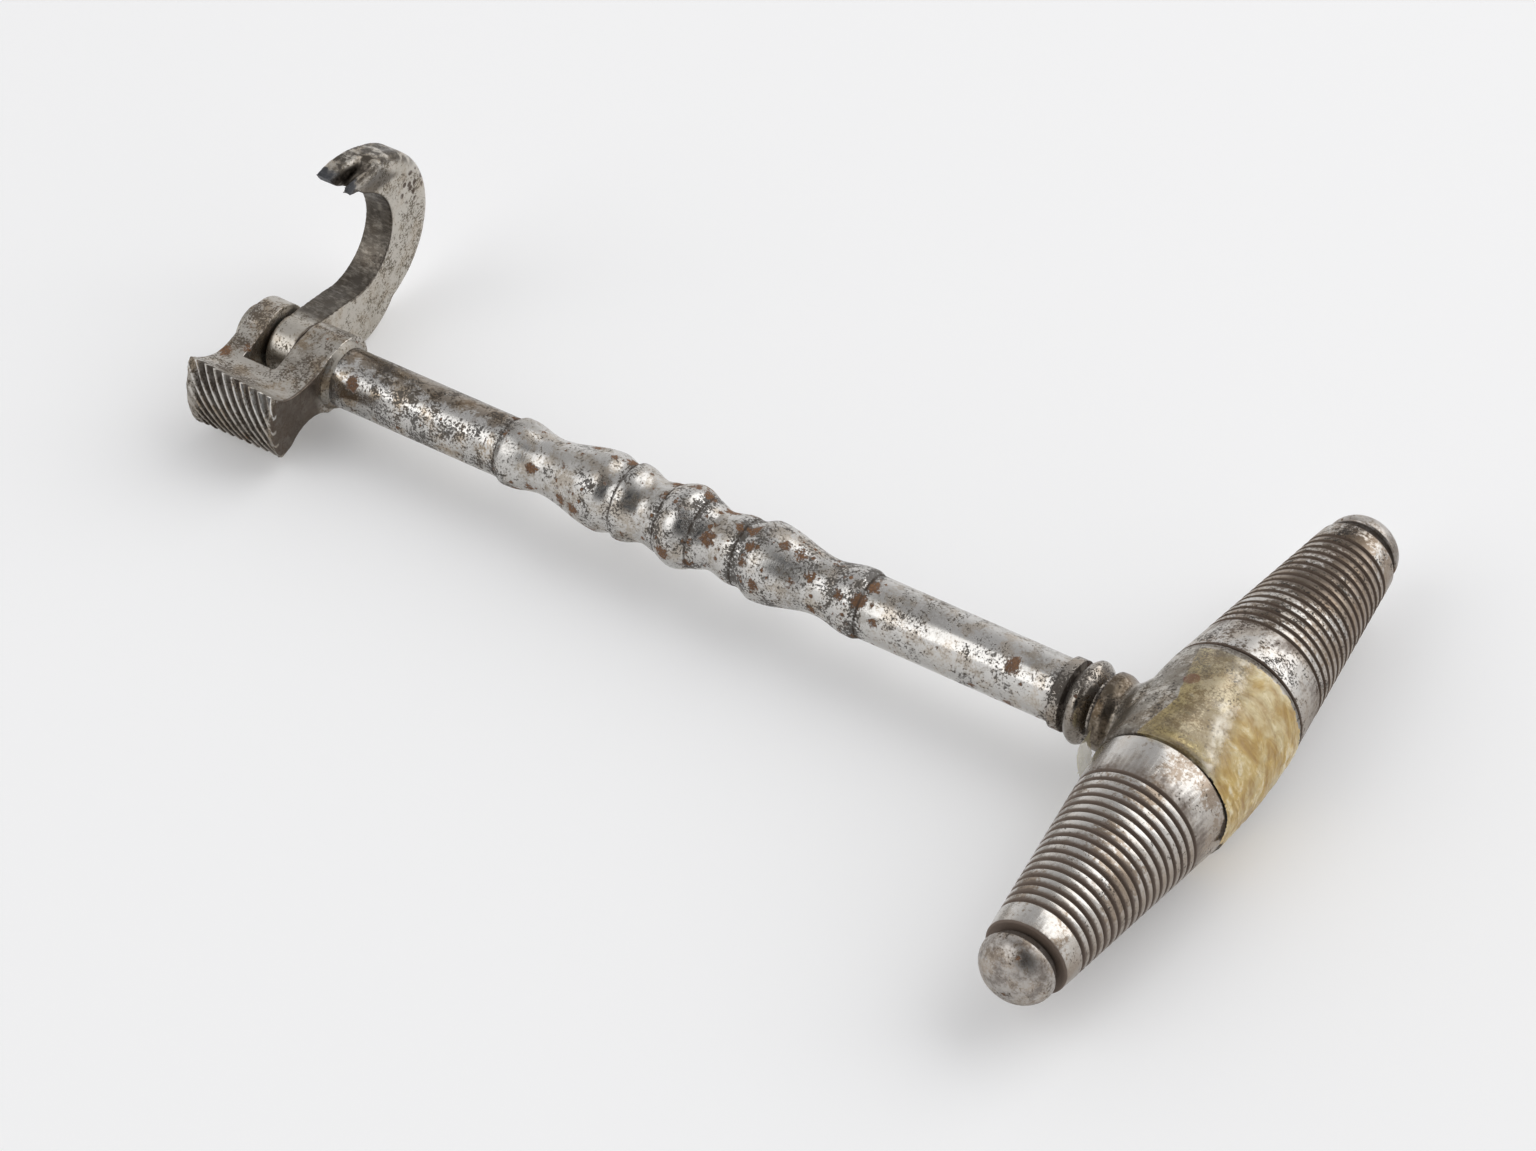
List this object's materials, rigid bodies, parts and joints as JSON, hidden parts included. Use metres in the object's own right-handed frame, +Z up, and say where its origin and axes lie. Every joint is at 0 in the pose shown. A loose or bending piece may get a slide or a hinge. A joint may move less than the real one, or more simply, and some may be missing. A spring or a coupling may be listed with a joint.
{
  "type": "dental key",
  "caption": "Steel tooth key with a turned baluster stem, a T handle with ring-grooved grips, a toothed bolster and a hooked claw that swings on a screw.",
  "frame": {"origin": "under the middle of the key, on the plane that the hub rests on", "axes": "+X along the stem toward the handle, +Y along the handle away from the bolster's side, +Z up"},
  "size_m": [0.1538, 0.092, 0.031],
  "materials": {
    "stem_steel": "polished, with black pits and red-brown rust spots",
    "head_steel": "filed and dull, brown in the cuts between the teeth",
    "claw_steel": "satin, speckled, dark on the inner face",
    "hub_steel": "mottled satin with brown stains",
    "grip_steel": "bright lands between dark brown ring grooves",
    "cap_steel": "mottled grey and brown",
    "screw_steel": "dull, dark",
    "braze": "dull, brownish",
    "tape": "aged, amber, wrinkled, half clear"
  },
  "bodies": {
    "shaft": {"stem": "stem_steel", "bolster_head": "head_steel", "braze_fillet": "braze", "hub": "hub_steel", "hub_pin": "screw_steel", "handle_rod": "screw_steel", "hub_tape": "tape"},
    "claw": {"claw": "claw_steel"},
    "claw_screw": {"claw_screw": "screw_steel"},
    "near_grip": {"near_grip": "grip_steel"},
    "far_grip": {"far_grip": "grip_steel"},
    "near_end_cap": {"near_end_cap": "cap_steel"},
    "far_end_cap": {"far_end_cap": "cap_steel"}
  },
  "joints": [
    {"name": "claw_swing", "type": "hinge", "parent": "shaft", "child": "claw", "pos_m": [-0.06955, 0.0009, 0.00975], "axis": [1, 0, 0], "range_deg": [-105, 130]},
    {"name": "claw_screw_out", "type": "slide", "parent": "shaft", "child": "claw_screw", "axis": [-1, 0, 0], "range_m": [0, 0.012]},
    {"name": "near_grip_turn", "type": "hinge", "parent": "shaft", "child": "near_grip", "pos_m": [0.06695, 0, 0.00975], "axis": [0, 1, 0], "continuous": true},
    {"name": "far_grip_turn", "type": "hinge", "parent": "shaft", "child": "far_grip", "pos_m": [0.06695, 0, 0.00975], "axis": [0, 1, 0], "continuous": true},
    {"name": "near_end_cap_off", "type": "slide", "parent": "shaft", "child": "near_end_cap", "axis": [0, -1, 0], "range_m": [0, 0.004]},
    {"name": "far_end_cap_off", "type": "slide", "parent": "shaft", "child": "far_end_cap", "axis": [0, 1, 0], "range_m": [0, 0.004]}
  ]
}
